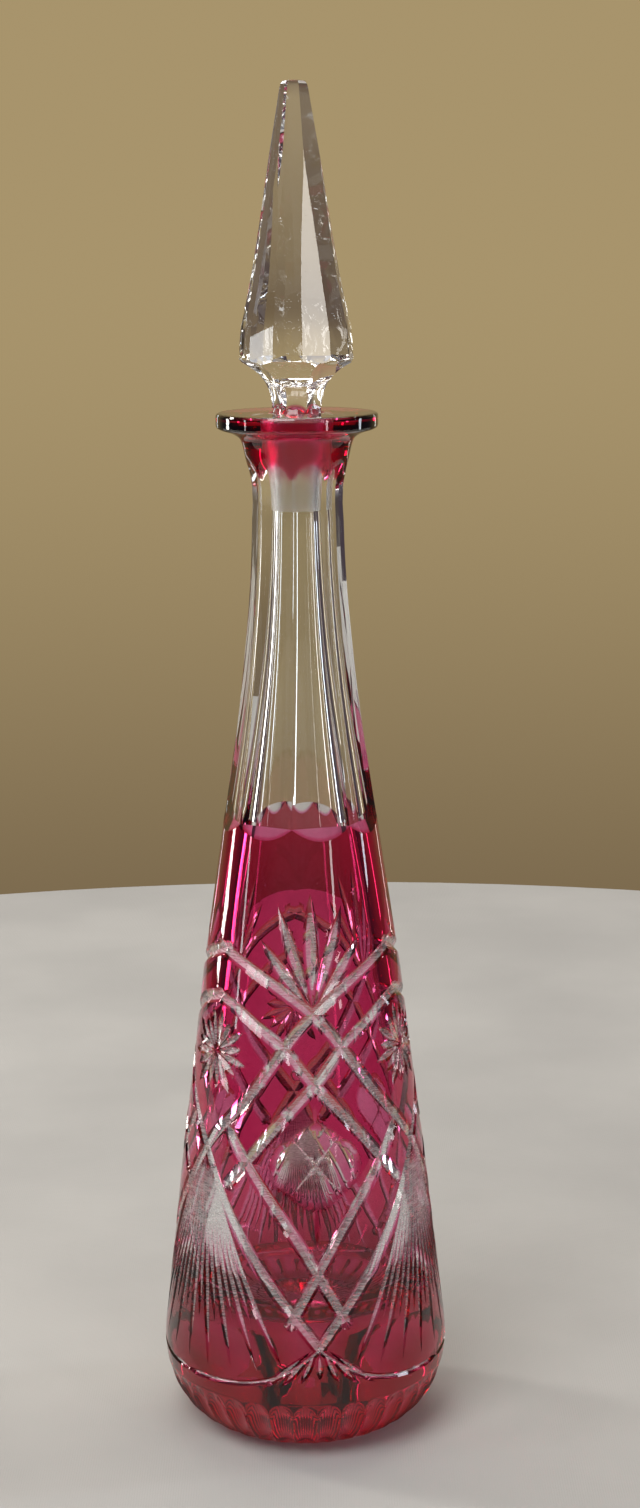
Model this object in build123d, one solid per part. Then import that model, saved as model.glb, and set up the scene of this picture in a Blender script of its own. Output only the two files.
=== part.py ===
from build123d import *
import os
from math import cos, sin, radians, hypot

os.makedirs("parts", exist_ok=True)

# ---------------------------------------------------------------- driving dimensions, mm
LIP_TOP = 307.0        # top of the pouring lip above the table
LIP_R = 23.5           # radius of the flared lip
BODY_TOP = 188.7       # where the neck panels begin
PANELS = 8             # flat panels round the neck
REPEATS = 3            # the cut pattern comes round three times
SKIN = 0.55            # thickness of the ruby casing
SKIN_FOOT = 0.8        # the casing stops this far above the table
FLOOR = 37.0           # thickness of glass under the hollow
JOINT_TOP_R = 6.85     # ground joint of the stopper, at the lip
JOINT_LOW_R = 5.50     # ground joint of the stopper, at its foot
JOINT_LOW = 279.0
JOINT_GAP = 0.04       # running clearance of the ground joint, radial
PATTERN_TURN = 6.0     # the first pattern column stands this far round from the front
PANEL_TURN = -6.0      # one of the neck ridges, round from the front
FOOT_RAYS = 30         # mitres of the star under the foot
STOPPER_SIDES = 6      # flat sides of the spire
BELT_R = 16.6          # widest part of the stopper
TIP_Z = 400.0

# outside of the blown blank as (radius, height), from the foot up to the neck
HEEL = [(24.0, 0.0), (29.0, 1.0), (34.0, 4.0), (37.8, 8.0), (40.6, 13.0), (42.4, 18.5), (43.1, 24.5)]
SIDE = [(42.1, 36.0), (39.9, 55.0), (36.4, 86.5), (33.1, 112.0), (28.9, 146.0), (25.6, 168.0), (22.9, 186.5)]
NECK = [(20.4, 204.7), (18.7, 216.7), (17.2, 228.7), (15.9, 240.6), (14.4, 258.0), (13.8, 273.0), (13.8, 286.0)]
COLLAR = [(14.1, 290.4), (15.0, 294.0), (15.8, 297.6), (16.4, 299.6), (18.6, 301.0), (22.3, 302.2)]
# mid line of one neck panel: the ramp out of the body, the long flat, the ramp out at the collar
PANEL = [(20.83, BODY_TOP), (18.58, 204.7), (16.95, 216.7), (15.6, 228.7), (14.45, 240.6),
         (12.95, 260.0), (12.4, 275.0), (12.4, 287.0), (13.3, 291.0), (15.6, 295.4)]
# the hollow, from the middle of its floor up to the ground joint
HOLLOW = [(14.0, 37.3), (22.0, 38.7), (28.4, 42.2), (31.9, 48.5), (32.7, 57.0), (30.2, 86.5), (26.8, 112.0),
          (22.0, 146.0), (18.8, 168.0), (15.4, 188.0), (11.4, 212.0), (8.0, 238.0), (6.2, 262.0)]


def skin_inset(points, depth):
    """The same line moved inwards by depth, square to itself."""
    moved = []
    for i, (r, z) in enumerate(points):
        a, b = points[max(i - 1, 0)], points[min(i + 1, len(points) - 1)]
        dr, dz = b[0] - a[0], b[1] - a[1]
        run = hypot(dr, dz)
        moved.append((r - depth * dz / run, z + depth * dr / run))
    return moved


def turned(edges):
    """A closed half outline in the XZ plane, turned round the Z axis."""
    return revolve(make_face(Curve() + edges), Axis.Z)


def xz(points):
    return [Vector(r, 0, z) for r, z in points]


def surface(turn, z):
    """Radius of the blank at this height, and the point on it at this turn."""
    line = HEEL + SIDE
    for (r0, z0), (r1, z1) in zip(line, line[1:]):
        if z <= z1:
            break
    r = r0 + (r1 - r0) * (z - z0) / (z1 - z0)
    return r, Vector(r * sin(radians(turn)), -r * cos(radians(turn)), z)


def solid_of(corners, faces):
    return Solid(Shell([Face(Wire.make_polygon([corners[i] for i in f])) for f in faces]))


# ---------------------------------------------------------------- the blank: body, neck and lip as one
side = HEEL + SIDE
outer = Spline(*xz(side + NECK + COLLAR[:4]))
flare = Spline(*xz(COLLAR[3:]))
rim = Polyline(*xz([COLLAR[-1], (LIP_R, 303.2), (LIP_R, LIP_TOP - 0.9), (LIP_R - 0.9, LIP_TOP),
                    (JOINT_TOP_R + 1.0, LIP_TOP), (JOINT_TOP_R + JOINT_GAP, LIP_TOP - 1.0)]))
joint = Polyline(*xz([(JOINT_TOP_R + JOINT_GAP, LIP_TOP - 1.0), (JOINT_LOW_R + JOINT_GAP, JOINT_LOW)]))
hollow = Spline(*xz([(JOINT_LOW_R + JOINT_GAP, JOINT_LOW)] + HOLLOW[::-1] + [(0, FLOOR)]),
                tangents=(Vector(0.05, 0, -1), Vector(-1, 0, 0)))
foot = Polyline(*xz([(0, FLOOR), (0, 0.9), (21.5, 0.9), (22.6, 0), (24.0, 0)]))
blank = turned([outer, flare, rim, joint, hollow, foot])

# ---------------------------------------------------------------- neck panels
ramp = Polyline(*xz([(24.9, 182.2), (20.83, BODY_TOP)]))
flat = Spline(*xz(PANEL))
back = Polyline(*xz([PANEL[-1], (40, 295.4), (40, 182.2), (24.9, 182.2)]))
panel_tool = extrude(make_face(Curve() + [ramp, flat, back]), 15, both=True)
first = PANEL_TURN + 180 / PANELS - 90
panel_tools = [Rot(0, 0, first + i * 360 / PANELS) * panel_tool for i in range(PANELS)]

# ---------------------------------------------------------------- the cut pattern
GROOVE_TOP = 3.0       # tools stand this far proud of the glass


def band(points, width):
    """A flat slab through three (turn, height) points of the surface: one long cut round the body."""
    a, m, b = (surface(*p)[1] for p in points)
    chord = (b - a).normalized()
    out = (m - (a + b) * 0.5)
    out = (out - chord * out.dot(chord)).normalized()
    long, deep = (b - a).length + 1.0, 60.0
    plane = Plane(origin=(a + b) * 0.5 - out * 0.8, x_dir=chord, z_dir=chord.cross(out))
    return plane * Box(long, deep, width, align=(Align.CENTER, Align.MIN, Align.CENTER))


def leaf(root, tip, width, depth, widest=0.5):
    """A pointed V cut: deepest and widest part of the way along, running out at both ends."""
    (_, a), (_, b) = surface(*root), surface(*tip)
    turn = root[0] + (tip[0] - root[0]) * widest
    height = root[1] + (tip[1] - root[1]) * widest
    mid = surface(turn, height)[1]
    out = Vector(mid.X, mid.Y, 0).normalized()
    across = (b - a).cross(out).normalized()
    low = mid - out * depth
    grow = (depth + GROOVE_TOP) / depth
    corners = [low] + [low + (p - low) * grow for p in (a, mid + across * width / 2, b, mid - across * width / 2)]
    return solid_of(corners, [(0, 1, 2), (0, 2, 3), (0, 3, 4), (0, 4, 1), (1, 4, 2), (3, 2, 4)])


# long cuts of the pattern, each through three (turn from the column, height) points, and its width
BANDS = [([(-60, 151.5), (0, 135), (58, 93.5)], 2.9),      # arch
         ([(58, 93.5), (90, 64.8), (119, 38)], 2.4),        # edge of the fan
         ([(-60, 138.6), (0, 114.6), (45, 82.5)], 2.9),     # lattice
         ([(47, 101.5), (11, 70.5), (-9, 47.5)], 3.0)]      # lower diamond
SWAG = [(2, 35.5), (20, 27.6), (40, 24.6)]


def mirrored(points, way):
    return [(way * turn, height) for turn, height in points]


def bands():
    """The long cuts of one pattern column and their mirror twins."""
    return [band(mirrored(points, way), width) for points, width in BANDS + [(SWAG, 1.0)] for way in (-1, 1)]


def palmette():
    """Five leaves spread upwards from the crossing of the two arches."""
    leaves = [leaf((0, 146), (0, 170), 4.4, 1.5)]
    for way in (-1, 1):
        for turn, height, width in ((20.5, 166, 3.6), (30.5, 156.3, 3.4)):
            root = way * turn * 0.4, 138 + (height - 138) * 0.4
            leaves.append(leaf(root, (way * turn, height), width, 1.3))
    return leaves


def star(centre_turn=60, centre_height=121.3, rays=12, reach=13.0):
    cuts = []
    r = surface(0, centre_height)[0]
    for i in range(rays):
        a = radians(360 * (i + 0.5) / rays)
        ends = [(centre_turn + far * sin(a) / r * 57.3, centre_height + far * cos(a)) for far in (4.2, reach)]
        cuts.append(leaf(*ends, 1.9, 0.85))
    return cuts


def fan(centre_turn=60, top=92.0, step=11.7):
    """Nine ribs spread from the crossing down towards the swag."""
    cuts = []
    for i in (-4, -3, -2, -1, 0, 1, 2, 3, 4):
        end = 29.0 + 0.25 * i * i
        ends = [(centre_turn + i * step * s * (top - end) / 64, top - (top - end) * s) for s in (0.42, 1.0)]
        cuts.append(leaf(*ends, 2.1, 0.9))
    return cuts


def punties():
    """Four overlapping round hollows, each from a wheel with a domed edge."""
    return [Pos(dx, -59.6, 90.6 + dz) * Sphere(24.6) for dx, dz in ((-5.6, 0), (5.6, 0), (0, 4.4), (0, -4.4))]


# ---------------------------------------------------------------- star cut under the foot
def foot_ray(angle):
    """A mitre from the middle of the underside out to its rim, standing upside down."""
    reach, half, high = 27.0, 2.0, 3.4
    corners = [Vector(12, 0, high + 0.9), Vector(0.5, 0, -GROOVE_TOP), Vector(12, half, -GROOVE_TOP),
               Vector(reach + 3, 0, -GROOVE_TOP), Vector(12, -half, -GROOVE_TOP)]
    return Rot(0, 0, angle) * solid_of(corners, [(0, 1, 2), (0, 2, 3), (0, 3, 4), (0, 4, 1), (1, 4, 2), (3, 2, 4)])


foot_tools = [foot_ray(i * 360 / FOOT_RAYS) for i in range(FOOT_RAYS)]

# ---------------------------------------------------------------- clear body and ruby casing out of the one cut blank
glass = blank.cut(*panel_tools)

body_line = side + [(22.5, BODY_TOP + 0.6)]
low = [(r, z) for r, z in skin_inset(body_line, SKIN)][1:]
body_skin = turned([Spline(*xz(low)),
                    Polyline(*xz([low[-1], (25.5, BODY_TOP + 1.2), (46, 60), (46, SKIN_FOOT), (27.4, SKIN_FOOT), low[0]]))])

collar_line = skin_inset([(13.9, 289.2)] + COLLAR + [(LIP_R, 303.4)], SKIN)
lip_skin = turned([Spline(*xz(collar_line)),
                   Polyline(*xz([collar_line[-1], (LIP_R - SKIN, LIP_TOP - 1.3), (LIP_R + 1.5, LIP_TOP - 1.3),
                                 (LIP_R + 1.5, 301.4), (20.0, 299.4), (17.6, 297.6), (16.2, 293.0),
                                 (15.2, 289.0), collar_line[0]]))])

crystal_body = glass.cut(body_skin).cut(lip_skin).cut(*foot_tools)
lip_ruby_casing = glass & lip_skin
body_ruby_casing = glass & body_skin
for cuts in (bands, punties, palmette, star, fan):
    around = [Rot(0, 0, PATTERN_TURN + k * 360 / REPEATS) * tool for k in range(REPEATS) for tool in cuts()]
    body_ruby_casing = body_ruby_casing - around

# ---------------------------------------------------------------- stopper
peg = Polyline(*xz([(0, JOINT_LOW + 0.3), (JOINT_LOW_R - 0.5, JOINT_LOW + 0.3), (JOINT_LOW_R + 0.04, JOINT_LOW + 0.9),
                    (JOINT_TOP_R - 0.005, LIP_TOP - 1.0), (7.35, LIP_TOP - 0.2), (7.35, 309.0)]))
flare_out = Spline(*xz([(7.35, 309.0), (8.0, 313.0), (10.6, 317.4), (14.4, 320.8), (BELT_R, 322.9)]))
spire = Spline(*xz([(16.1, 331.5), (13.4, 344.5), (11.1, 358.0), (7.5, 380.5), (4.1, 398.2)]))
belt = Polyline(*xz([(BELT_R, 322.9), (BELT_R, 324.4), (16.1, 331.5)]))
tip = Polyline(*xz([(4.1, 398.2), (3.0, TIP_Z), (0, TIP_Z), (0, JOINT_LOW + 0.3)]))
stopper = turned([peg, flare_out, belt, spire, tip])


def facets(line, outside, top, count, first):
    """Flat facets round the stopper: the middle of each follows line, everything outside it is cut off."""
    edge = Spline(*xz(line))
    shut = Polyline(*xz([line[-1], (outside, top), (outside, line[0][1]), line[0]]))
    tool = extrude(make_face(Curve() + [edge, shut]), 14, both=True)
    return [Rot(0, 0, first - 90 + i * 360 / count) * tool for i in range(count)]


FACET_TURN = -8.5
flats = facets([(15.45, 330.6), (12.5, 344.5), (10.0, 358.0), (6.15, 380.5), (3.2, 400.2)], 22, 400.2,
               STOPPER_SIDES, FACET_TURN)
lancets = facets([(15.45, 330.6), (12.6, 344.5), (10.35, 358.0), (7.1, 380.5), (6.7, 383.0)], 22, 383.0,
                 STOPPER_SIDES, FACET_TURN + 180 / STOPPER_SIDES)
scoops = facets([(6.1, 307.4), (6.5, 311.5), (7.9, 315.5), (11.0, 319.3), (15.2, 322.0), (17.2, 322.9)], 22, 322.9,
                STOPPER_SIDES, FACET_TURN)
girdle = facets([(15.95, 322.0), (15.45, 331.5)], 22, 331.5, 2 * STOPPER_SIDES, FACET_TURN)
stopper = stopper.cut(*flats).cut(*lancets).cut(*girdle).cut(*scoops)

# ---------------------------------------------------------------- write
for name, shape in (("crystal_body", crystal_body), ("body_ruby_casing", body_ruby_casing),
                    ("lip_ruby_casing", lip_ruby_casing), ("stopper", stopper)):
    export_step(shape, f"parts/{name}.step")
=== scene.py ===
"""Cut crystal decanter: a clear lead-crystal vessel with a ruby layer cut through by the pattern,
and a steeple stopper."""
import bmesh
import bpy
import numpy as np
from mathutils import Matrix, Vector
from mathutils.geometry import delaunay_2d_cdt


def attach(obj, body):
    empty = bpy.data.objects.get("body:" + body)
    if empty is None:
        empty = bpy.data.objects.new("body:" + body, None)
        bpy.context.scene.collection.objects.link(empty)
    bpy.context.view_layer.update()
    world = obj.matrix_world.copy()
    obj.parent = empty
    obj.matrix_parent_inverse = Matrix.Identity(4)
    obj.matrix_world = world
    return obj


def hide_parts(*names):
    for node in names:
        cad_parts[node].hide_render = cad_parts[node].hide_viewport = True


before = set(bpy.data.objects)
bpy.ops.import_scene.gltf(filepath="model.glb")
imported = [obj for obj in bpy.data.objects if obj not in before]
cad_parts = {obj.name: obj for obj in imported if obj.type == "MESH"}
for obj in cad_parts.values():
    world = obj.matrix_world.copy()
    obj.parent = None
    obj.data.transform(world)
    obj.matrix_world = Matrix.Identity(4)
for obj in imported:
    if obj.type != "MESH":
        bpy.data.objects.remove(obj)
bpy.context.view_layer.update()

MM = 0.001
AROUND = 360                       # columns of every round surface, one a degree
SKIN = 0.55                        # ruby layer, mm
GAP = 0.02                         # from the back of the ruby to the clear glass it is fused to, mm
THINNEST = 0.03                    # ruby thinner than this is cut away, mm
COLUMN_TURN = 6.0                  # first pattern column, degrees round from the front
LOW, HIGH = 20.0, 173.0            # heights between which the pattern is cut
CREASE, CREASE_RADIUS = 188.7, 20.83   # where each neck panel's flat turns into its lower ramp
RAMP_RADIUS, RAMP_LOW = 24.9, 182.2    # a point lower down on that ramp
JOINT_TOP, JOINT_LOW = 6.89, 5.54  # socket radii at the mouth and at its foot
LIP_TOP, SOCKET_TOP, SOCKET_LOW = 307.0, 306.0, 279.0
NECK_PANELS, FLUTES, MITRES, FACETS = 8, 36, 30, 6     # round the neck, heel, foot and stopper
RUBY_END = (28.2, 0.8)             # radius and height where the ruby stops, above the foot ring

# what a face is: polished, cut by the wheel, part of the ground joint, or fused to the other glass
MARK = "fused"
POLISHED, WORKED, GROUND, FUSED = 0.0, 0.1, 0.5, 1.0

# lines through (radius, height), all mm
BODY = [(38.7, 9.5), (40.55, 13.0), (42.35, 18.5), (43.05, 24.5), (42.1, 36.0), (39.9, 55.0),
        (36.4, 86.5), (33.1, 112.0), (28.9, 146.0), (25.6, 168.0), (22.9, 186.5), (22.45, 190.0)]
PANEL = [(CREASE_RADIUS, CREASE), (18.58, 204.7), (16.95, 216.7), (15.6, 228.7), (14.45, 240.6),
         (12.95, 260.0), (12.4, 275.0), (12.4, 287.0), (13.3, 291.0), (15.6, 295.4)]
LIP_LOW = 299.4                        # where the lip's underside runs into the collar
COLLAR = [(13.9, 289.0), (14.1, 290.4), (15.0, 294.0), (15.8, 297.6), (16.4, 299.6)]
HOLLOW = [(28.4, 42.2), (31.9, 48.5), (32.7, 57.0), (30.2, 86.5), (26.8, 112.0), (22.0, 146.0),
          (18.8, 168.0), (15.4, 188.0), (11.4, 212.0), (8.0, 238.0), (6.2, 262.0), (JOINT_LOW, SOCKET_LOW)]


def curve(knots, at):
    """Value of a smooth line at a height: cubic pieces whose slope at each knot comes from its neighbours."""
    v, h = np.asarray(knots, float).T
    at = np.asarray(at, float)
    slope = np.gradient(v, h)
    i = np.clip(np.searchsorted(h, at) - 1, 0, len(h) - 2)
    step = h[i + 1] - h[i]
    t = np.clip((at - h[i]) / step, -0.5, 1.5)
    return ((2 * t - 3) * t * t + 1) * v[i] + ((t - 2) * t + 1) * t * step * slope[i] \
        + (3 - 2 * t) * t * t * v[i + 1] + (t - 1) * t * t * step * slope[i + 1]


def through(points, count):
    """A smooth line through points, as count points evenly spaced by the points' own number."""
    p = np.asarray(points, float)
    k = np.arange(len(p))
    at = np.linspace(0, len(p) - 1, count)
    return np.stack([curve(np.stack([c, k], 1), at) for c in p.T], 1)


# ---------------------------------------------------------------- the cut pattern
# long cuts as (turn from the column in degrees, height in mm); each also has its mirror twin
ARCH = [(-66, 152.8), (-58, 151.6), (-40, 148.4), (-20, 143.0), (0, 135.2), (15.5, 125.2), (34, 110.5),
        (58, 94.0), (80, 73.5), (100, 55.0), (112, 44.5), (122, 35.0)]
LATTICE = [(-66, 138.8), (-45, 135.5), (-30, 130.8), (-15.5, 125.0), (0, 114.6), (17, 103.6), (34, 90.9),
           (46, 81.6)]
DIAMOND = [(48, 102.0), (34, 90.9), (19, 78.5), (9, 69.0), (0, 58.8), (-9.5, 47.0), (-12, 43.5)]
SWAG = [(-3, 38.5), (5, 33.4), (15, 28.8), (26, 26.0), (40, 24.5), (62, 24.0)]
# each long cut's line, width, depth and number of points
LONG_CUTS = ((ARCH, 4.1, 1.45, 96), (LATTICE, 4.1, 1.45, 60), (DIAMOND, 4.1, 1.45, 44), (SWAG, 1.9, 0.85, 40))
# the leaf fan over the arches: turn and height of each tip, and the leaf's width
PALMETTE = ((-34.0, 148.6, 2.8), (-31.0, 156.6, 4.2), (-20.5, 166.4, 4.0), (0, 170.2, 4.9),
            (20.5, 166.4, 4.0), (31.0, 156.6, 4.2), (34.0, 148.6, 2.8))
STAR_HEIGHT, STAR_RAYS = 121.3, 16

FLOWER_HEIGHT, HOLLOWNESS = 90.8, 0.0215
# the flower's four round hollows: turn and height from its middle, and radius squared
PETALS = [(8.46, 0.0, 69.3), (-8.46, 0.0, 69.3), (0.0, 4.6, 62.4), (0.0, -4.6, 62.4)]
FLOWER_ARC = float(np.radians(1) * curve(BODY, FLOWER_HEIGHT))      # mm a degree, at the flower


def cut(line, depths, width, depth):
    """One V cut: its middle line, the depth along it, and its walls' steepness (depth over half width)."""
    return np.asarray(line, float), np.asarray(depths, float), depth / (width / 2)


def long_cut(knots, width, depth, twin, count):
    """A V cut of even depth along a smooth line, easing out over its last steps at both ends."""
    line = through(knots, count) * (twin, 1)
    ease = np.minimum(np.arange(count), np.arange(count)[::-1]) / 2.0
    return cut(line, depth * np.minimum(1, ease), width, depth)


def leaf(root, tip, width, depth, widest=0.5, steps=12, blunt=2.0):
    """A pointed V cut from a round wheel: its depth falls off as a power (blunt) of the way from its widest
    place."""
    s = np.linspace(0, 1, steps + 1)
    line = np.outer(1 - s, root) + np.outer(s, tip)
    span = np.where(s < widest, widest, 1 - widest)
    return cut(line, depth * (1 - np.abs((s - widest) / span) ** blunt), width, depth)


def column_cuts():
    """Every V cut near the first column and the star column beside it, and the ridges between the leaves."""
    cuts, fans = [], []
    for centre in (-120, 0, 120):
        for twin in (1, -1):
            for knots, width, depth, count in LONG_CUTS:
                line, depths, steep = long_cut(knots, width, depth, twin, count)
                cuts.append((line + (centre, 0), depths, steep))
        fans.append([leaf((centre + i * 0.5, 136.8), (centre + turn, height), width, 1.45, 0.56)
                     for i, (turn, height, width) in enumerate(PALMETTE, -3)])
        for twin in (1, -1):                             # a fine cross over the flower
            low_end = (centre - 12.6 * twin, FLOWER_HEIGHT - 9.2)
            high_end = (centre + 12.6 * twin, FLOWER_HEIGHT + 9.2)
            cuts.append(leaf(low_end, high_end, 2.2, 1.6, 0.5, 16))
        # a small fan of leaves under the diamond
        fans.append([leaf((centre + i * 1.2, 36.3), (centre + i * 7.6, 27.5 - 0.95 * abs(i)), 2.4, 0.95, 0.6)
                     for i in range(-3, 4)])
    for centre in (-60, 60):
        radius = curve(BODY, STAR_HEIGHT)
        star = []
        for i in range(STAR_RAYS):
            a = 2 * np.pi * (i + 0.5) / STAR_RAYS
            reach = 13.4 if i % 2 else 11.2
            tip = (centre + np.degrees(reach * np.sin(a) / radius), STAR_HEIGHT + reach * np.cos(a))
            star.append(leaf((centre, STAR_HEIGHT), tip, 3.0, 1.5, 0.6))
        fans.append(star + star[:1])
        fan = []
        for i in range(-8, 9):                           # long ribs, and short ones between them
            end = (28.0 if i % 2 == 0 else 41.0) + 0.045 * i * i
            share = (93.0 - end) / 64.0
            tip = (centre + i * 5.85 * share, end)
            fan.append(leaf((centre + i * 0.2, 92.0), tip, 2.4, 1.3, 0.5, 20, 3.2))
        fans.append(fan)

    def near(one):
        """Whether a cut reaches the half sector that the net covers, or a little past it."""
        return one[0][:, 0].max() > -6 and one[0][:, 0].min() < 66

    pairs = [pair for fan in fans for pair in zip(fan, fan[1:])]
    ridges = [ridge(one, other) for one, other in pairs if near(one) and near(other)]
    return [one for one in cuts + [leaves for fan in fans for leaves in fan] if near(one)], ridges


def ridge(one, other):
    """The line where the walls of two neighbouring leaves meet, and its depth (negative where they part).

    At the same way out from their roots the leaves are gap apart; the wall of one has risen
    steep * share * gap from its bottom where the other's has risen steep * (1 - share) * gap from its own.
    """
    runs = []
    for line, _, _ in (one, other):
        arc = np.radians(1) * curve(BODY, line[:, 1])
        steps = np.hypot(np.diff(line[:, 0]) * arc[1:], np.diff(line[:, 1]))
        runs.append(np.concatenate([[0], np.cumsum(steps)]))
    out = np.linspace(0.4, min(runs[0][-1], runs[1][-1]), 30)
    spots, deep = [], []
    for run, (line, depths, _) in zip(runs, (one, other)):
        spots.append(np.stack([np.interp(out, run, line[:, k]) for k in (0, 1)], 1))
        deep.append(np.interp(out, run, depths))
    arc = np.radians(1) * curve(BODY, spots[0][:, 1])
    apart = spots[1] - spots[0]
    gap = np.maximum(np.hypot(apart[:, 0] * arc, apart[:, 1]), 1e-3)
    share = np.clip((deep[0] - deep[1] + other[2] * gap) / ((one[2] + other[2]) * gap), 0, 1)
    level = deep[0] - one[2] * share * gap
    return spots[0] + share[:, None] * apart, np.where(level > 0.02, level, -1.0)


CUTS, RIDGES = column_cuts()
STARTS = np.concatenate([line[:-1] for line, _, _ in CUTS])
ENDS = np.concatenate([line[1:] for line, _, _ in CUTS])
START_DEPTHS = np.concatenate([d[:-1] for _, d, _ in CUTS])
END_DEPTHS = np.concatenate([d[1:] for _, d, _ in CUTS])
STEEPS = np.concatenate([np.full(len(d) - 1, k) for _, d, k in CUTS])
BATCH = 4000                       # points measured against every cut at a time


def flower_depth(turn, height):
    """Four round hollows ground side by side: each is HOLLOWNESS times (its radius squared less the way from
    its middle squared), so where two meet they leave a straight ridge, and the four ridges make a cross."""
    deepest = np.full(turn.shape, -9.0)
    for centre in (0.0, 120.0):
        for dt, dh, square in PETALS:
            way = ((turn - centre - dt) * FLOWER_ARC) ** 2 + (height - FLOWER_HEIGHT - dh) ** 2
            deepest = np.maximum(deepest, HOLLOWNESS * (square - way))
    return deepest


def pattern_depth(turn, height):
    """How deep the pattern is cut at each (turn, height), in mm: the deepest of all cuts, or none."""
    deepest = np.maximum(flower_depth(turn, height), 0)
    radius = curve(BODY, height)
    for first in range(0, len(turn), BATCH):
        part = slice(first, first + BATCH)
        arc = (np.radians(1) * radius[part])[:, None]
        px, pz = turn[part, None] * arc, height[part, None]
        ax, bx = STARTS[:, 0] * arc, ENDS[:, 0] * arc
        dx, dz = bx - ax, (ENDS[:, 1] - STARTS[:, 1])[None]
        s = np.clip(((px - ax) * dx + (pz - STARTS[:, 1]) * dz) / (dx * dx + dz * dz), 0, 1)
        off = np.hypot(px - ax - s * dx, pz - STARTS[:, 1] - s * dz)
        depth = START_DEPTHS + s * (END_DEPTHS - START_DEPTHS) - STEEPS * off
        deepest[part] = np.maximum(deepest[part], depth.max(1))
    return deepest


def guide_lines():
    """The lines the facets must follow: bottoms of the cuts, their brinks, and where they leave the ruby.

    Each comes with the depth it should lie at; net() drops the stretches that a deeper cut has taken away.
    """
    lines = []
    for line, depths, steep in CUTS:
        arc = np.radians(1) * curve(BODY, line[:, 1])
        way = np.gradient(line, axis=0) * np.stack([arc, np.ones_like(arc)], 1)
        way /= np.hypot(*way.T)[:, None]
        side = np.stack([way[:, 1] / arc, -way[:, 0]], 1)
        lines.append((line, depths))
        for level in (0.0, SKIN):
            half = np.maximum(depths - level, 0) / steep
            for hand in (1, -1):
                lines.append((line + hand * side * half[:, None], np.minimum(depths, level)))
    lines.extend(RIDGES)
    a = np.linspace(0, 2 * np.pi, 49)
    for dt, dh, square in PETALS:
        for level in (0.0, SKIN):
            reach = np.sqrt(square - level / HOLLOWNESS)
            brink = [dt + reach * np.cos(a) / FLOWER_ARC, FLOWER_HEIGHT + dh + reach * np.sin(a)]
            lines.append((np.stack(brink, 1), np.full(len(a), level)))
    reach = np.linspace(0, 10.8, 12)
    for hand in (1, -1):
        for up in (1, -1):
            crest = np.stack([hand * reach * 0.655 / FLOWER_ARC, FLOWER_HEIGHT + up * reach * 0.755], 1)
            lines.append((crest, np.maximum(flower_depth(*crest.T), 0)))
    return lines


MEAN_RADIUS = 34.0                 # of the cut part of the body, mm
HALF_SECTOR = 60.0                 # degrees of one mirror half of the pattern
SEAM = 2e-3                        # corners this near a mirror line are put on it, degrees
HAIR, SHORTEST = 0.06, 0.6         # an edge that misses the glass by a hair is split, if it isn't short, mm


def net():
    """Triangles over one mirror half of the pattern, 0 to 60 degrees round, following every guide line.

    The lines are joined by a triangulation that keeps them as edges. It is made three times: after the first
    and the second, every edge whose middle would miss the cut glass by more than a hair gets a corner there.
    """
    scale = np.array([np.radians(MEAN_RADIUS), 1.0])
    corners, edges = [], []

    def add(line):
        """Adds the line's points as corners, joined one to the next by edges that are kept."""
        first = len(corners)
        corners.extend(map(tuple, line))
        edges.extend((first + i, first + i + 1) for i in range(len(line) - 1))

    for line, level in guide_lines():
        seen = pattern_depth(line[:, 0], line[:, 1]) < level + 0.05
        seen[1:] |= seen[:-1].copy()
        seen[:-1] |= seen[1:].copy()
        keep = seen & (line[:, 0] > -5) & (line[:, 0] < 65)
        runs = np.split(np.arange(len(line)), np.flatnonzero(np.diff(keep.astype(int))) + 1)
        for run in runs:
            if keep[run[0]] and len(run) > 1:
                add(line[run])
    for turn in (0.0, HALF_SECTOR):
        add([(turn, LOW), (turn, HIGH)])
    for height in (LOW, HIGH):
        add([(t, height) for t in np.arange(0, HALF_SECTOR + 1)])
    rows = np.arange(LOW + 1.6, HIGH - 1, 1.75)
    flower_rows = np.arange(77.5, 104.5, 0.95)
    grid = [(t + (j % 2) * 1.6, h) for j, h in enumerate(rows) for t in np.arange(1.3, 59, 3.2)]
    fine = [(t + (j % 2) * 0.75, h) for j, h in enumerate(flower_rows) for t in np.arange(0.7, 23.5, 1.5)]
    extra = np.array(grid + fine)
    for _ in range(3):
        pts = np.concatenate([np.array(corners), extra]) * scale
        out = delaunay_2d_cdt([Vector(p) for p in pts], edges, [], 0, 1e-4)
        where = np.array(out[0]) / scale
        for turn in (0.0, HALF_SECTOR):
            where[np.abs(where[:, 0] - turn) < SEAM, 0] = turn
        tris = np.array([f for f in out[2] if len(f) == 3])
        pairs = np.concatenate([tris[:, [0, 1]], tris[:, [1, 2]], tris[:, [2, 0]]])
        pairs = np.unique(np.sort(pairs, axis=1), axis=0)
        inside = ((where[pairs, 0] > -0.5) & (where[pairs, 0] < HALF_SECTOR + 0.5)).all(1)
        pairs = pairs[inside]
        middle = where[pairs].mean(1)
        depth = pattern_depth(where[:, 0], where[:, 1])
        miss = np.abs(pattern_depth(middle[:, 0], middle[:, 1]) - depth[pairs].mean(1))
        long = np.hypot(*((where[pairs[:, 0]] - where[pairs[:, 1]]) * scale).T)
        extra = np.concatenate([extra, middle[(miss > HAIR) & (long > SHORTEST)]])
    turn, height = where[tris].mean(1).T
    tris = tris[(turn > 0) & (turn < HALF_SECTOR) & (height > LOW) & (height < HIGH)]
    a, b, c = where[tris[:, 0]], where[tris[:, 1]], where[tris[:, 2]]
    ab, ac = b - a, c - a
    turned = ab[:, 0] * ac[:, 1] - ab[:, 1] * ac[:, 0] < 0
    tris[turned] = tris[turned][:, ::-1]
    return where, tris, depth


# ---------------------------------------------------------------- meshes from sheets of points
WELD = 2e-6                        # points nearer than this become one, in metres


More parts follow.
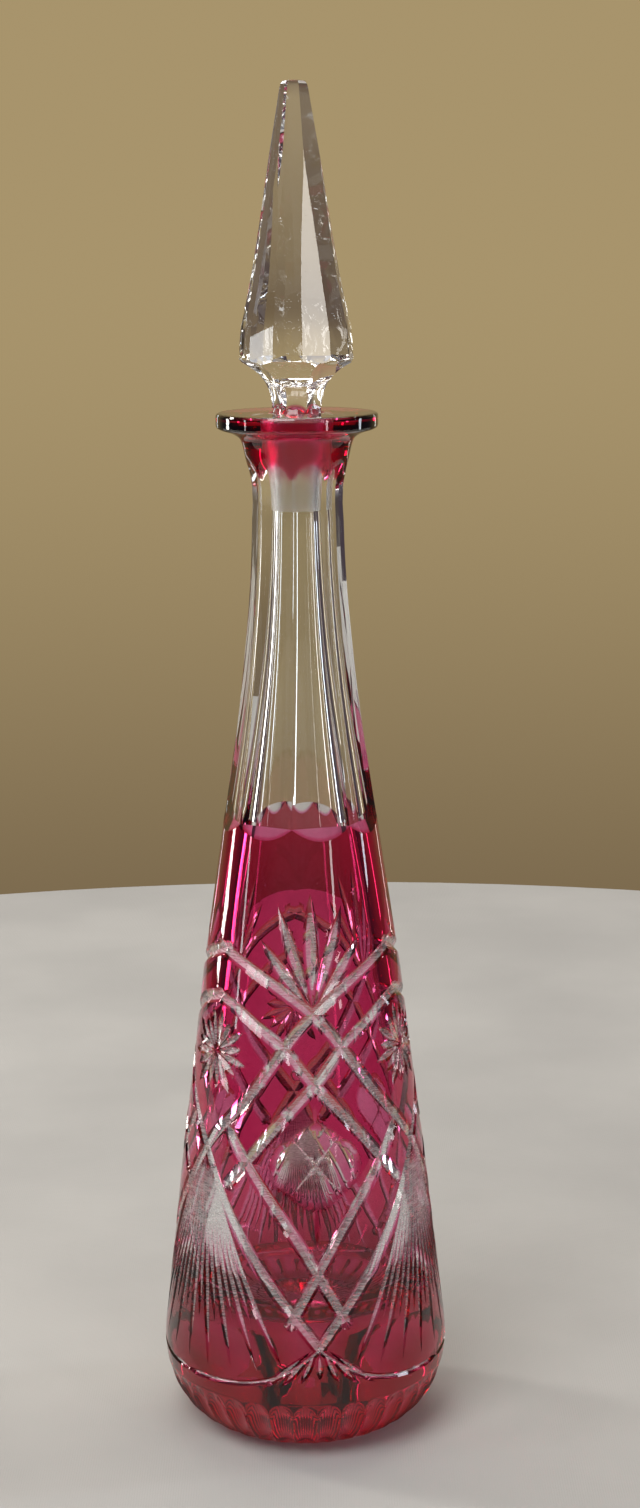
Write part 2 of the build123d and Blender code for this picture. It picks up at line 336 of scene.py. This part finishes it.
class Sheets:
    """Collects points, faces and face marks of one piece, then welds them into a mesh."""

    def __init__(self):
        self.points, self.faces, self.marks, self.count = [], [], [], 0

    def add(self, points, faces, mark=POLISHED):
        """points (n, 3) in mm; faces an (m, 3 or 4) array facing outwards; mark one value or one per face."""
        self.points.append(np.asarray(points).reshape(-1, 3))
        self.faces.extend((np.asarray(faces) + self.count).tolist())
        self.marks.extend(np.broadcast_to(mark, len(faces)).tolist())
        self.count += len(self.points[-1])

    def piece(self, name, material, body, nodes, slot, sharp=22.0):
        """The mesh as a piece riding on a body; edges that bend by more than sharp degrees stay crisp."""
        mesh = bpy.data.meshes.new(name)
        mesh.from_pydata((np.concatenate(self.points) * MM).tolist(), [], self.faces)
        held = mesh.attributes.new(MARK, "FLOAT", "FACE")
        held.data.foreach_set("value", np.array(self.marks, np.float32))
        work = bmesh.new()
        work.from_mesh(mesh)
        bmesh.ops.remove_doubles(work, verts=work.verts, dist=WELD)
        bmesh.ops.dissolve_degenerate(work, edges=work.edges, dist=WELD / 2)
        open_edges = sum(1 for e in work.edges if len(e.link_faces) != 2)
        work.to_mesh(mesh)
        work.free()
        mesh.shade_smooth()
        mesh.set_sharp_from_angle(angle=np.radians(sharp))
        obj = bpy.data.objects.new(name, mesh)
        bpy.context.scene.collection.objects.link(obj)
        mesh.materials.append(material)
        print("PIECE", name, "faces", len(mesh.polygons), "open edges", open_edges)
        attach(obj, body)
        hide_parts(*nodes)


def grid_faces(rows, columns):
    """Four-cornered faces of a sheet that closes on itself sideways, rows running from the top down."""
    i, j = np.meshgrid(np.arange(rows - 1), np.arange(columns), indexing="ij")
    k = (j + 1) % columns
    here, below = i * columns, (i + 1) * columns
    return np.stack([here + j, below + j, below + k, here + k], -1).reshape(-1, 4)


TURNS = np.arange(AROUND, dtype=float)               # degrees round from the first column


def place(turn, radius, height):
    """Points at that turn from the first column, radius and height."""
    a = np.radians(turn + COLUMN_TURN)
    return np.stack(np.broadcast_arrays(radius * np.sin(a), -radius * np.cos(a), height), -1)


def solve(low, high, gap):
    """The height between low and high where gap turns from positive to negative, all columns at once."""
    low, high = np.full(AROUND, float(low)), np.full(AROUND, float(high))
    for _ in range(40):
        middle = (low + high) / 2
        above = gap(middle) > 0
        low, high = np.where(above, middle, low), np.where(above, high, middle)
    return (low + high) / 2


# ---------------------------------------------------------------- the vessel's outside, row by row
PANEL_STEP = 360 / NECK_PANELS
PANEL_FIRST = -12.0 + PANEL_STEP / 2   # middle of a neck panel, round from the first column
FROM_PANEL = (TURNS - PANEL_FIRST + PANEL_STEP / 2) % PANEL_STEP - PANEL_STEP / 2
ACROSS = np.cos(np.radians(FROM_PANEL))
RAMP = (RAMP_RADIUS - CREASE_RADIUS) / (CREASE - RAMP_LOW)
PANEL_TOP = 286.0                      # the panels stay straight up to here
CLEAR_ROWS = 4                         # rows of the lip that stand above its ruby
BARE_NECK = 30                         # a row of the bare neck: ruby above is the lip's, below is the body's


def rows_above_pattern():
    """Rows from the lip down to the pattern's top, each (outer points, ruby thickness, inward direction).

    A neck panel is flat: its radius is that of its middle over the cosine of the turn from there. It ends
    where it meets the round glass, and the ruby over it ends where it meets the ruby's back.
    """
    rows = []
    under_lip = [(22.3, 302.25), (20.2, 301.65), (18.6, 301.0), (17.2, 300.2), (16.4, LIP_LOW)]
    lip = np.concatenate([[(22.6, LIP_TOP), (23.2, 306.8), (23.46, 306.3), (23.5, 305.8)],
                          [(23.5, 305.5), (23.5, 304.3), (23.46, 303.3), (23.1, 302.75), (22.3, 302.25)],
                          through(under_lip, 9)[1:]])
    way = np.gradient(lip, axis=0)
    way /= np.hypot(*way.T)[:, None]
    for i, ((r, z), (dr, dz)) in enumerate(zip(lip, way)):
        rows.append((place(TURNS, r, z), 0.0 if i < CLEAR_ROWS else SKIN, (dz, -dr)))
    top = solve(288.0, 297.0, lambda z: curve(COLLAR, z) - curve(PANEL, z) / ACROSS)
    skin_top = solve(286.0, 297.0, lambda z: curve(COLLAR, z) - SKIN - curve(PANEL, z) / ACROSS)
    top = np.maximum(top, 289.0)
    skin_top = np.clip(skin_top, 288.5, top - 0.05)
    for share in np.linspace(0, 1, 6)[1:]:
        z = LIP_LOW + (top - LIP_LOW) * share
        rows.append((place(TURNS, curve(COLLAR, z), z), SKIN, (-1, 0)))
    rows.append((place(TURNS, curve(PANEL, skin_top) / ACROSS, skin_top), 0.0, (-1, 0)))
    for share in (0.3, 0.65, 1.0):
        z = skin_top + (PANEL_TOP - skin_top) * share
        rows.append((place(TURNS, curve(PANEL, z) / ACROSS, z), 0.0, (-1, 0)))
    for z in np.linspace(PANEL_TOP, CREASE, 20)[1:]:
        rows.append((place(TURNS, curve(PANEL, z) / ACROSS, z), 0.0, (-1, 0)))

    def ramp(z):
        """Radius of the panels' lower ends, which slope straight out to the round body."""
        return (CREASE_RADIUS + RAMP * (CREASE - z)) / ACROSS

    skin_low = solve(182.0, CREASE, lambda z: ramp(z) - curve(BODY, z) + SKIN)
    edge = np.minimum(solve(180.0, CREASE, lambda z: ramp(z) - curve(BODY, z)), skin_low - 0.03)
    halfway = (CREASE + skin_low) / 2
    rows.append((place(TURNS, ramp(halfway), halfway), 0.0, (-1, 0)))
    rows.append((place(TURNS, ramp(skin_low), skin_low), 0.0, (-1, 0)))
    for share in np.linspace(0, 1, 8):
        z = edge + (HIGH - edge) * share
        rows.append((place(TURNS, curve(BODY, z), z), SKIN, (-1, 0)))
    return rows


HEEL = [(float(curve(BODY, LOW)), LOW), (42.35, 18.5), (40.6, 13.0), (37.8, 8.0), (34.0, 4.0), (30.4, 1.75),
        RUBY_END]
FLUTE_DEPTH, FLUTE_TOP = 1.5, 19.4     # mm
HEEL_EXTRA = 0.6                       # ruby gathered at the heel beyond its usual thickness, mm


def rows_below_pattern():
    """Rows of the rounded heel, with upright hollow flutes that run out under the pattern.

    A flute is deepest in its middle and rises as the square of the way from it; towards its top it grows
    shallow, so its outline there is round. The ruby is thinner in it.
    """
    line = through(HEEL, 37)
    way = np.gradient(line, axis=0)
    step = 360 / FLUTES
    from_flute = (TURNS + COLUMN_TURN + step / 2) % step - step / 2
    rows = []
    for i, ((r, z), (dr, dz)) in enumerate(zip(line, way)):
        lean = min(1.0, (LOW - z) / 5.0)
        length = np.hypot(dz, dr * lean)
        inward = (dz / length, -dr * lean / length)
        full = FLUTE_DEPTH * np.clip((FLUTE_TOP - z) / 5.0, 0, 1) * np.clip((z - RUBY_END[1]) / 3.0, 0, 1)
        depth = np.maximum(full - FLUTE_DEPTH * (from_flute / (step / 2)) ** 2, 0)
        thick = SKIN + HEEL_EXTRA * min(1.0, (LOW - z) / 6.0)
        thick = 0.0 if i == len(line) - 1 else thick - 0.45 * depth
        rows.append((moved(place(TURNS, r, z), inward, depth), thick, inward))
    return rows


def moved(points, inward, by):
    """Points moved inwards by that many mm, in the plane of their own turn."""
    by = np.broadcast_to(by, points.shape[:-1])
    out = points[..., :2] / np.linalg.norm(points[..., :2], axis=-1, keepdims=True)
    return np.concatenate([points[..., :2] + out * (inward[0] * by)[..., None],
                           (points[..., 2] + inward[1] * by)[..., None]], -1)


def ruby_back(thick):
    """How deep the ruby's back lies: short of its thickness by the gap, or by half where it is very thin."""
    return thick - np.minimum(GAP, thick / 2)


def three_skins(rows):
    """For rows of the outside: outer skin, ruby's back, clear glass's skin, and ruby thickness."""
    outer = np.stack([p for p, _, _ in rows])
    thick = np.stack([np.broadcast_to(np.asarray(t, float), (AROUND,)) for _, t, _ in rows])
    thick = np.where(thick < THINNEST, 0, thick)
    clear = np.stack([moved(p, w, t) for (p, _, w), t in zip(rows, thick)])
    back = np.stack([moved(p, w, ruby_back(t)) for (p, _, w), t in zip(rows, thick)])
    return outer, back, clear, thick


def build_vessel(clear_material, ruby_material, lip_material):
    """The clear vessel and the two ruby layers, from the pattern's net, the rows round it, and the inside."""
    vessel, body_ruby, lip_skin = Sheets(), Sheets(), Sheets()
    where, tris, depth = net()
    thick = np.clip(SKIN - depth, 0, None)
    thick = np.where(thick < THINNEST, 0, thick)
    radius = curve(BODY, where[:, 1])
    beyond_flower = depth - np.maximum(flower_depth(*where.T), 0)
    for k in range(3):
        for twin in (1, -1):
            turn = 120.0 * k + twin * where[:, 0]
            faces = tris if twin == 1 else tris[:, ::-1]
            covered = (thick[faces] > 0).any(1)
            outer, back, clear = (place(turn, radius - depth - d, where[:, 1])
                                  for d in (0, ruby_back(thick), thick))
            worked = (beyond_flower[faces] > 0.05).any(1)
            vessel.add(clear, faces, np.where(covered, FUSED, np.where(worked, WORKED, POLISHED)))
            body_ruby.add(outer, faces[covered], POLISHED)
            body_ruby.add(back, faces[covered][:, ::-1], FUSED)

    # the net's outer corners are the rows' corners: same turns, same heights
    upper, lower = rows_above_pattern(), rows_below_pattern()
    for rows, is_upper in ((upper, True), (lower, False)):
        outer, back, clear, row_thick = three_skins(rows)
        faces = grid_faces(len(rows), AROUND)
        covered = (row_thick.reshape(-1)[faces] > 0).any(1)
        vessel.add(clear, faces, np.where(covered, FUSED, POLISHED))
        of_lip = is_upper & (faces[:, 0] // AROUND < BARE_NECK)
        for skin, mine in ((lip_skin, of_lip), (body_ruby, ~of_lip)):
            chosen = faces[covered & mine]
            if len(chosen):
                skin.add(outer, chosen, POLISHED)
                skin.add(back, chosen[:, ::-1], FUSED)

    # mouth, ground socket and hollow, from the lip inwards and down to the middle of the floor
    mouth = [(22.6, LIP_TOP), (22.0, LIP_TOP), (15.0, LIP_TOP), (8.2, LIP_TOP), (7.6, 306.7),
             (JOINT_TOP, SOCKET_TOP)]
    socket = np.linspace((JOINT_TOP, SOCKET_TOP), (JOINT_LOW, SOCKET_LOW), 6)[1:]
    heights = np.linspace(SOCKET_LOW, HOLLOW[0][1], 40)[1:]
    wall = np.stack([curve(HOLLOW, heights), heights], 1)
    floor = through([HOLLOW[0], (25.6, 40.2), (22.0, 38.7), (14.0, 37.3), (7.0, 37.0), (0.0, 37.0)], 16)[1:]
    floor[-1, 0] = 0.0
    line = np.concatenate([mouth, socket, wall, floor])
    points = np.stack([place(TURNS, r, z) for r, z in line])
    faces = grid_faces(len(line), AROUND)[:, ::-1]
    row = faces.min(1) // AROUND - (len(mouth) - 1)
    vessel.add(points, faces, np.where((row >= 0) & (row < len(socket)), GROUND, POLISHED))

    # the foot: a narrow ring it stands on, and a star of mitres cut up into the underside; each mitre's sides
    # rise as the way from its edge, and it runs out at the rim
    ring = [RUBY_END, (27.7, 0.7), (27.0, 0.5), (25.6, 0.2), (24.0, 0.0), (22.7, 0.0), (21.6, 0.9)]
    line = np.concatenate([ring,
                           np.stack([np.linspace(21.6, 0.0, 20)[1:], np.full(19, 0.9)], 1)])
    step = 360 / MITRES
    from_ray = np.abs((TURNS + step / 2) % step - step / 2)
    rows = []
    for r, z in line:
        cut_up = np.minimum(1.15 * np.radians(5.8 - from_ray) * r, 1.7 * (RUBY_END[0] - r))
        rows.append(place(TURNS, r, np.maximum(z, z + cut_up)))
    vessel.add(np.stack(rows), grid_faces(len(line), AROUND))

    vessel.piece("clear_vessel", clear_material, "decanter", ["crystal_body"], "clear_crystal")
    body_ruby.piece("ruby_casing", ruby_material, "decanter", ["body_ruby_casing"], "ruby_glass")
    lip_skin.piece("ruby_lip", lip_material, "decanter", ["lip_ruby_casing"], "ruby_glass")


# ---------------------------------------------------------------- stopper
FLAT_TURN = -8.5
FLAT = [(15.45, 330.6), (12.5, 344.5), (10.0, 358.0), (6.15, 380.5), (3.2, 400.2)]
LANCET = [(15.45, 330.6), (12.6, 344.5), (10.35, 358.0), (7.1, 380.5), (6.7, 383.0)]
SCOOP = [(6.1, 307.4), (6.5, 311.5), (7.9, 315.5), (11.0, 319.3), (15.2, 322.0), (17.2, 322.9)]
LANCET_TOP = 383.0                     # the lancets run out here, below the tip
FACET_STEP = 360 / FACETS              # from the middle of one flat to the next
HALF_STEP = FACET_STEP / 2             # from the middle of a flat to the middle of a lancet
SIDE_COLUMNS = 6                       # columns from the middle of a facet to its corner


def build_stopper(material):
    """A steeple of six flats with a lancet ground on each corner, a belt, six scoops down to the stem, a peg.

    Columns are laid by facet: in each 30 degrees from the middle of a flat to the middle of a lancet, the
    corner between the two stands at an angle that changes with height, with as many columns on each side.
    """
    unit = np.concatenate([np.linspace(0, 1, SIDE_COLUMNS + 1), np.linspace(1, 2, SIDE_COLUMNS + 1)[1:]])

    def all_round(a, *values):
        """Half a facet with its mirror half, all round: turns from the first column, then each value."""
        def both(half, other):
            return np.concatenate([half, other[::-1][1:-1]])
        facet = np.arange(FACETS)[:, None] * FACET_STEP + both(a, FACET_STEP - a)
        return (facet.reshape(-1) + FLAT_TURN - COLUMN_TURN, *(np.tile(both(v, v), FACETS) for v in values))

    def row(corner, flat, lancet, z):
        """Points of one level: corner in degrees from the flat's middle, and the two apothems."""
        a = np.where(unit <= 1, unit * corner, corner + (unit - 1) * (HALF_STEP - corner))
        r = np.where(unit <= 1, flat / np.cos(np.radians(a)), lancet / np.cos(np.radians(HALF_STEP - a)))
        return place(*all_round(a, r, np.broadcast_to(z, a.shape)))

    def corner_at(z, flat, lancet):
        """Where a flat and a lancet of these apothems meet, in degrees from the flat's middle."""
        s, c = np.sin(np.radians(HALF_STEP)), np.cos(np.radians(HALF_STEP))
        return float(np.clip(np.degrees(np.arctan2(lancet - flat * c, flat * s)), 0.3, HALF_STEP))

    rows = [row(20, 0.0, 0.0, 400.0), row(20, 1.6, 1.7, 400.0),
            row(29.9, 2.75, 3.05, 399.75), row(29.9, 3.25, 3.7, 399.0)]
    for z in np.concatenate([np.linspace(398.0, LANCET_TOP, 6), np.linspace(381.5, 331.5, 18)]):
        flat = float(curve(FLAT, z))
        no_lancet = flat / np.cos(np.radians(HALF_STEP))
        lancet = min(float(curve(LANCET, z)), no_lancet) if z < LANCET_TOP else no_lancet
        rows.append(row(corner_at(z, flat, lancet), flat, lancet, z))
    for z, apothem in ((328.0, 15.62), (325.5, 15.78), (323.6, 15.88)):
        rows.append(row(15, apothem, apothem, z))
    # lower edge of the belt: where each scoop comes out through it
    a = np.where(unit <= 1, unit * 15, 15 + (unit - 1) * 15)
    belt = 15.92 / np.cos(np.radians(np.where(unit <= 1, a, HALF_STEP - a)))
    levels = np.linspace(307.4, 322.9, 400)
    scoop = curve(SCOOP, levels)
    edge = np.interp(belt * np.cos(np.radians(a)), scoop, levels)
    for share in np.concatenate([[0], 1 - (1 - np.linspace(0, 1, 15)[1:]) ** 1.25]):
        z = edge + (308.2 - edge) * share
        hollow = 1 - 0.075 * np.sin(np.pi * share) ** 0.6 * (1 - (a / HALF_STEP) ** 2)
        r = np.minimum(curve(SCOOP, z) / np.cos(np.radians(a)) * hollow, belt)
        rows.append(place(*all_round(a, r, z)))
    shoulder = [(6.95, 306.7), (6.83, 305.7)]
    peg = [(6.83 - 1.32 * s, 305.7 - 25.8 * s) for s in np.linspace(0.2, 1, 5)] \
        + [(5.3, 279.5), (5.0, 279.3), (0.0, 279.3)]
    rows.extend(place(all_round(a)[0], r, z) for r, z in shoulder + peg)
    columns = len(rows[0])
    marks = np.full(len(rows) - 1, POLISHED)
    marks[-len(peg):] = GROUND
    stopper = Sheets()
    stopper.add(np.stack(rows), grid_faces(len(rows), columns), np.repeat(marks, columns))
    stopper.piece("steeple_stopper", material, "stopper", ["stopper"], "stopper_crystal", sharp=9.0)


# ---------------------------------------------------------------- materials
class Maths:
    """A number inside a shader: arithmetic on it makes the nodes."""

    def __init__(self, tree, socket):
        self.tree, self.socket = tree, socket

    def does(self, kind, *others, swapped=False):
        node = self.tree.nodes.new("ShaderNodeMath")
        node.operation = kind
        values = (*others, self) if swapped else (self, *others)
        for slot, value in zip(node.inputs, values):
            if isinstance(value, Maths):
                self.tree.links.new(value.socket, slot)
            else:
                slot.default_value = value
        return Maths(self.tree, node.outputs[0])

    def __add__(self, o): return self.does("ADD", o)
    def __radd__(self, o): return self.does("ADD", o)
    def __sub__(self, o): return self.does("SUBTRACT", o)
    def __rsub__(self, o): return self.does("SUBTRACT", o, swapped=True)
    def __mul__(self, o): return self.does("MULTIPLY", o)
    def __rmul__(self, o): return self.does("MULTIPLY", o)
    def __truediv__(self, o): return self.does("DIVIDE", o)
    def __rtruediv__(self, o): return self.does("DIVIDE", o, swapped=True)
    def __gt__(self, o): return self.does("GREATER_THAN", o)
    def __lt__(self, o): return self.does("LESS_THAN", o)

    def between(self, low, high):
        """0 at low rising smoothly to 1 at high."""
        t = ((self - low) / (high - low)).does("MAXIMUM", 0.0).does("MINIMUM", 1.0)
        return t * t * (3.0 - 2.0 * t)


class Finish:
    """One material (or the world), with a short way to add any node."""

    def __init__(self, owner):
        owner.use_nodes = True
        self.owner, self.tree = owner, owner.node_tree
        self.tree.nodes.clear()

    def feed(self, slot, value):
        """Links a node's or number's output to the slot, or sets the slot to a plain value."""
        if isinstance(value, Maths):
            value = value.socket
        if isinstance(value, bpy.types.Node):
            value = next(o for o in value.outputs if o.enabled)
        if isinstance(value, bpy.types.NodeSocket):
            self.tree.links.new(value, slot)
        else:
            slot.default_value = value

    def node(self, kind, settings=None, **inputs):
        """A node of that type; its settings, then its inputs by name (spaces as _) or by place, as at1."""
        node = self.tree.nodes.new("ShaderNode" + kind)
        for key, value in (settings or {}).items():
            setattr(node, key, value)
        for key, value in inputs.items():
            self.feed(node.inputs[int(key[2:]) if key.startswith("at") else key.replace("_", " ")], value)
        return node

    def number(self, socket):
        return Maths(self.tree, socket)

    def blend(self, share, first, second):
        """first where share is 0, second where it is 1."""
        node = self.node("Mix", {"data_type": "RGBA"})
        for place_of, value in ((0, share), (6, first), (7, second)):
            self.feed(node.inputs[place_of], value)
        return node.outputs[2]

    def noise(self, coords, scale, detail=3.0, roughness=0.5):
        return self.number(self.node("TexNoise", None, Vector=coords, Scale=scale, Detail=detail,
                                     Roughness=roughness).outputs["Fac"])


IOR = 1.545
CLEAR = (0.975, 0.985, 0.98, 1.0)
PAINTED_SHADE_RUBY = (0.42, 0.09, 0.17, 1.0)
FROSTED = (0.93, 0.94, 0.93, 1.0)
HAZE = (0.94, 0.94, 0.925, 1.0)
RUBY_FACE, RUBY_CORDS = (1.0, 0.97, 0.98, 1.0), (0.97, 0.88, 0.92, 1.0)
RUBY_PASSES = (0.890, 0.032, 0.450, 1.0)                 # the light that comes through the ruby's depth
BODY_DENSITY, LIP_DENSITY = 3200.0, 5600.0               # how strongly a metre of it takes the rest


def glass(name, tint, cord_tint, swell_by=0.22, density=0.0):
    """Polished lead glass, ruby where density isn't 0.

    Light goes straight through faces marked as fused to the other glass. The ground joint is frosted, and
    the wheel leaves a haze in the cuts. Faint cords run through the glass, handling leaves faint smears on
    it, and dust lies in specks.
    """
    f = Finish(bpy.data.materials.new(name))
    coords = f.node("TexCoord").outputs["Object"]
    height = f.number(f.node("SeparateXYZ", None, Vector=coords).outputs["Z"])
    held = f.number(f.node("Attribute", {"attribute_name": MARK}).outputs["Fac"])
    ground = (held > 0.25) * (held < 0.75)
    worked = (held > 0.05) * (held < 0.25)

    cords = f.noise(f.node("Mapping", None, Vector=coords, Scale=(1.0, 1.0, 0.35)), 60.0, 2.0)
    smear = f.noise(coords, 34.0, 5.0, 0.62)
    hand = f.node("Mapping", None, Vector=coords, Rotation=(0.5, 0.3, 0.9), Scale=(1.0, 1.0, 5.0))
    hand = f.noise(hand, 90.0, 3.0)
    grit = f.noise(coords, 5200.0, 2.0, 0.7)
    specks = f.node("TexVoronoi", None, Vector=coords, Scale=420.0, Randomness=1.0).outputs["Distance"]
    dusty = f.noise(coords, 22.0, 2.0).between(0.52, 0.66) * (f.number(specks) < 0.085)
    wheel = f.node("Mapping", None, Vector=coords, Rotation=(0.4, 0.2, 0.7), Scale=(1.0, 1.0, 9.0))
    wheel = f.noise(wheel, 260.0, 3.0, 0.6)

    rough = 0.004 + smear.between(0.5, 0.72) * 0.022 + hand.between(0.58, 0.72) * 0.014 + dusty * 0.25
    rough = rough + worked * (0.01 + 0.04 * wheel.between(0.35, 0.7))
    rough = rough * (1.0 - ground) + ground * (0.34 + 0.12 * grit)
    colour = f.blend(cords.between(0.3, 0.7), tint, cord_tint)
    if density:                                          # painted shade: the ruby is coloured darker in a band from the heel to the hollow's floor
        # painted shade: darker ruby low on the body stands in for the shadowed table seen through the base
        deep = height.between(0.060, 0.034) * height.between(0.014, 0.021)
        colour = f.blend(deep, colour, PAINTED_SHADE_RUBY)
    colour = f.blend(ground * 0.55, colour, FROSTED)

    swell = f.node("Bump", None, Strength=swell_by, Distance=0.00022, Height=cords)
    grain = f.node("Bump", None, Strength=1.0, Distance=0.00004, Height=grit * ground, Normal=swell)
    body = f.node("BsdfPrincipled", None, Base_Color=colour, Roughness=rough, IOR=IOR,
                  Transmission_Weight=1.0, Specular_IOR_Level=0.5, Normal=grain)
    haze = f.node("BsdfPrincipled", None, Base_Color=HAZE, Roughness=0.4, IOR=IOR, Normal=grain)
    body = f.node("MixShader", None, Fac=worked * (0.13 + 0.24 * wheel.between(0.3, 0.7)), at1=body, at2=haze)
    straight = f.node("BsdfTransparent", None, Color=(1, 1, 1, 1))
    mixed = f.node("MixShader", None, Fac=held > 0.75, at1=body, at2=straight)
    out = f.node("OutputMaterial", None, Surface=mixed)
    if density:
        f.feed(out.inputs["Volume"], f.node("VolumeAbsorption", None, Color=RUBY_PASSES, Density=density))
    return f.owner


def cloth(name, first, second):
    """The plain pale cloth everything stands on: a fine weave, a little uneven in tone."""
    f = Finish(bpy.data.materials.new(name))
    coords = f.node("TexCoord").outputs["Object"]
    across, along = (f.number(f.node("TexWave", {"bands_direction": way}, Vector=coords, Scale=420.0,
                                     Distortion=0.6).outputs["Fac"]) for way in "XY")
    tone = f.noise(coords, 7.0, 4.0)
    colour = f.blend(tone.between(0.3, 0.7), first, second)
    weave = f.node("Bump", None, Strength=0.25, Distance=0.0002, Height=across.does("MAXIMUM", along))
    body = f.node("BsdfPrincipled", None, Base_Color=colour, Roughness=0.85 + 0.1 * tone, Normal=weave)
    f.node("OutputMaterial", None, Surface=body)
    return f.owner


# ---------------------------------------------------------------- the object
clear = glass("clear_lead_crystal", CLEAR, (0.94, 0.955, 0.95, 1.0))
ruby = glass("ruby_cased_glass", RUBY_FACE, RUBY_CORDS, density=BODY_DENSITY)
lip_ruby = glass("ruby_lip_glass", RUBY_FACE, RUBY_CORDS, density=LIP_DENSITY)
stopper_clear = glass("stopper_lead_crystal", CLEAR, (0.955, 0.955, 0.96, 1.0), swell_by=0.06)
build_vessel(clear, ruby, lip_ruby)
build_stopper(stopper_clear)

# ---------------------------------------------------------------- floor, room light, camera
FLOOR_RADIUS = 0.66
floor_mesh = bpy.data.meshes.new("pale_floor")
ring = np.radians(np.arange(0, 360, 3.0))
edge = np.stack([FLOOR_RADIUS * np.sin(ring), -FLOOR_RADIUS * np.cos(ring), 0 * ring], 1)
floor_mesh.from_pydata(edge.tolist(), [], [list(range(len(ring)))])
floor = bpy.data.objects.new("pale_floor", floor_mesh)
floor.location.z = -0.0002             # a hair under the foot
floor_mesh.materials.append(cloth("pale_cloth", (0.40, 0.395, 0.385, 1.0), (0.47, 0.465, 0.45, 1.0)))
bpy.context.scene.collection.objects.link(floor)

# the room: a warm wall behind, a greyer room in front, dark to the left and right
world = bpy.data.worlds.new("room")
bpy.context.scene.world = world
f = Finish(world)
way = f.node("SeparateXYZ", None, Vector=f.node("TexCoord").outputs["Generated"])
up, back = f.number(way.outputs["Z"]), f.number(way.outputs["Y"])
wall = f.blend(up.between(-0.35, -0.02), (0.15, 0.105, 0.058, 1.0), (0.39, 0.295, 0.15, 1.0))
room = f.blend(up.between(-0.2, 0.5), (0.07, 0.055, 0.05, 1.0), (0.34, 0.34, 0.37, 1.0))
side = f.number(way.outputs["X"]).does("ABSOLUTE")
colour = f.blend(back.between(-0.25, 0.35), room, wall)
colour = f.blend(side.between(0.5, 0.9), colour, (0.055, 0.04, 0.055, 1.0))
f.node("OutputWorld", None, Surface=f.node("Background", None, Color=colour, Strength=1.0))


def soft_light(name, turn, distance, height, width, tall, power, colour):
    """A soft box standing turn degrees round from the front, facing the middle of the decanter."""
    light = bpy.data.lights.new(name, "AREA")
    light.shape, light.size, light.size_y = "RECTANGLE", width, tall
    light.energy, light.color = power, colour
    obj = bpy.data.objects.new(name, light)
    a = np.radians(turn)
    obj.location = (distance * np.sin(a), -distance * np.cos(a), height)
    aim = Vector((0, 0, LIGHT_AIM)) - obj.location
    obj.rotation_euler = aim.to_track_quat("-Z", "Y").to_euler()
    obj.visible_camera = False
    bpy.context.scene.collection.objects.link(obj)


LIGHT_AIM = 0.18                       # height of the decanter's middle, metres
# name, degrees round from the front, distance, height, width and length in metres, watts, colour
LIGHTS = (("window_left", -114, 1.35, 0.55, 0.17, 1.3, 11.0, (1.0, 0.96, 0.90)),
          ("window_right", 100, 1.5, 0.6, 0.12, 1.1, 4.0, (0.80, 0.90, 1.0)),
          ("strip_far_left", -152, 1.3, 0.45, 0.04, 1.2, 0.6, (0.85, 0.93, 1.0)),
          ("strip_far_right", 146, 1.3, 0.45, 0.04, 1.2, 0.6, (1.0, 0.96, 0.92)),
          ("strip_near_left", -77, 1.6, 0.5, 0.08, 1.2, 2.2, (0.92, 0.96, 1.0)),
          ("strip_near_right", 43, 1.7, 0.6, 0.10, 1.2, 3.0, (1.0, 0.98, 0.96)),
          ("overhead", 170, 0.5, 1.7, 1.1, 0.8, 9.0, (1.0, 0.98, 0.95)),
          ("fill_high", -28, 1.15, 1.75, 1.0, 1.0, 22.0, (1.0, 0.985, 0.96)))
for light in LIGHTS:
    soft_light(*light)

SENSOR, LENS = 36.0, 2700 / 1508 * 36  # mm
LOOKS_DOWN, LEANS = 11.54, 0.46        # degrees
camera_data = bpy.data.cameras.new("camera")
camera_data.sensor_width, camera_data.lens = SENSOR, LENS
camera = bpy.data.objects.new("camera", camera_data)
camera.location = (0.0059, -0.782, 0.3661)
tilt, lean = np.radians(90 - LOOKS_DOWN), np.radians(LEANS)
camera.rotation_mode = "QUATERNION"
camera.rotation_quaternion = (Matrix.Rotation(tilt, 3, "X") @ Matrix.Rotation(-lean, 3, "Z")).to_quaternion()
camera_data.clip_start = 0.01
bpy.context.scene.collection.objects.link(camera)
bpy.context.scene.camera = camera

cycles = bpy.context.scene.cycles
cycles.max_bounces, cycles.transmission_bounces, cycles.glossy_bounces = 28, 28, 12
cycles.transparent_max_bounces, cycles.diffuse_bounces, cycles.volume_bounces = 96, 3, 1
cycles.sample_clamp_indirect = 6.0
bpy.context.scene.view_settings.view_transform = "Standard"
